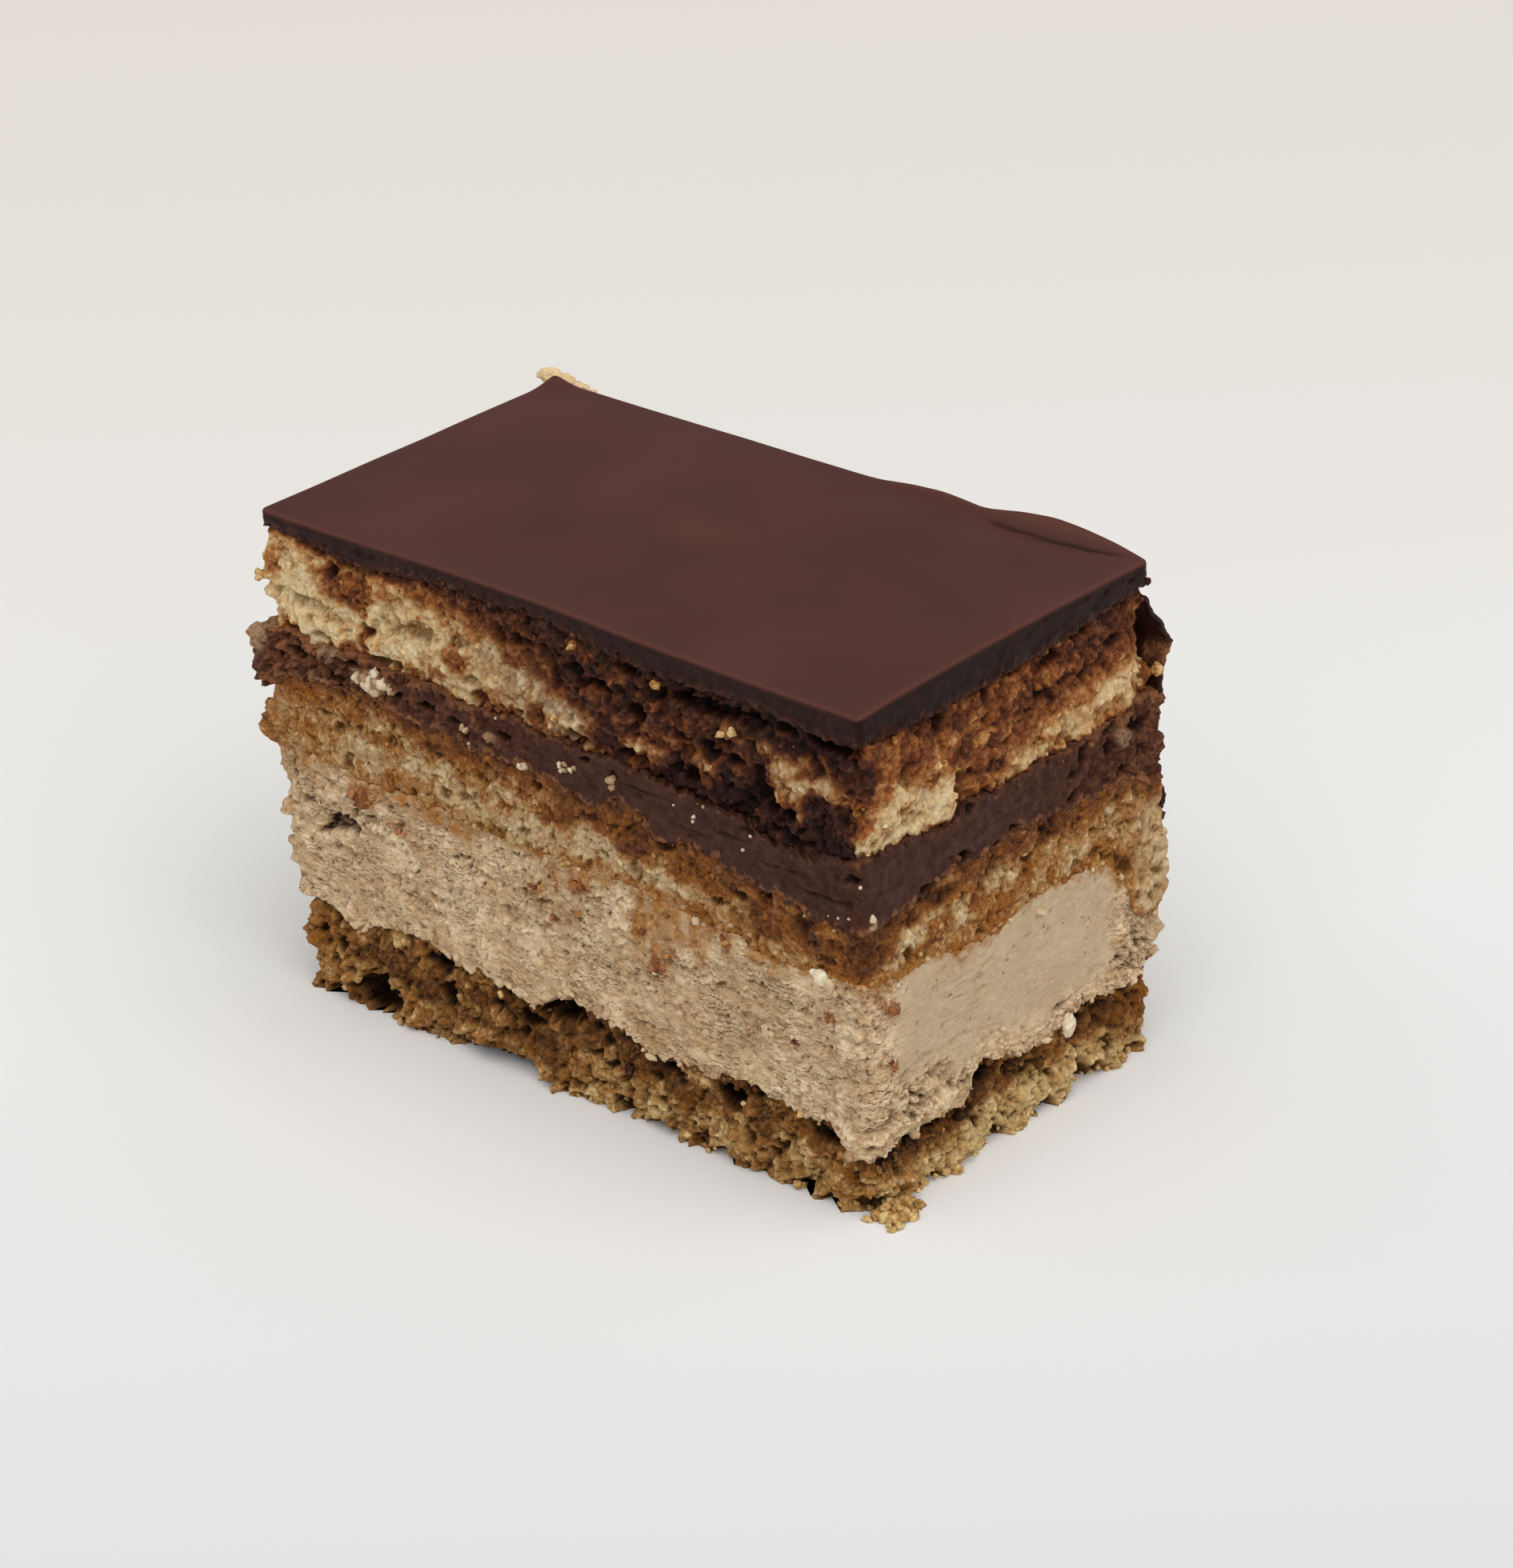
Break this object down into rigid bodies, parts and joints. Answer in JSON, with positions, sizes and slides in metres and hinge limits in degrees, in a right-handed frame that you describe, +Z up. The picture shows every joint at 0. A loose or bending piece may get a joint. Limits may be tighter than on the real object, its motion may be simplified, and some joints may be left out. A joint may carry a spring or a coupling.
{
  "type": "opera cake",
  "caption": "Rectangular slice of layered opera cake: soaked sponges, coffee buttercream and ganache under a smooth chocolate glaze, with cut crumbly sides.",
  "frame": {"origin": "on the surface the slice rests on, under the middle of its bounding box", "axes": "+X along the long cut side, +Y across the slice towards the side with the curled glaze edge, +Z up through the layers"},
  "size_m": [0.0834, 0.0482, 0.0557],
  "materials": {
    "soaked_sponge": "wet granular sponge crumb, brown where soaked",
    "coffee_buttercream": "matte cut buttercream, torn in places",
    "middle_sponge": "moist sponge crumb with amber soaked lines",
    "ganache": "dense matte ganache with knife drag",
    "top_sponge": "open sponge crumb, pale to chocolate brown",
    "chocolate_glaze": "smooth satin set chocolate glaze"
  },
  "bodies": {
    "root": {"sponge_bottom": "soaked_sponge", "buttercream": "coffee_buttercream", "sponge_middle": "middle_sponge", "ganache": "ganache", "sponge_top": "top_sponge", "glaze": "chocolate_glaze"}
  },
  "joints": []
}
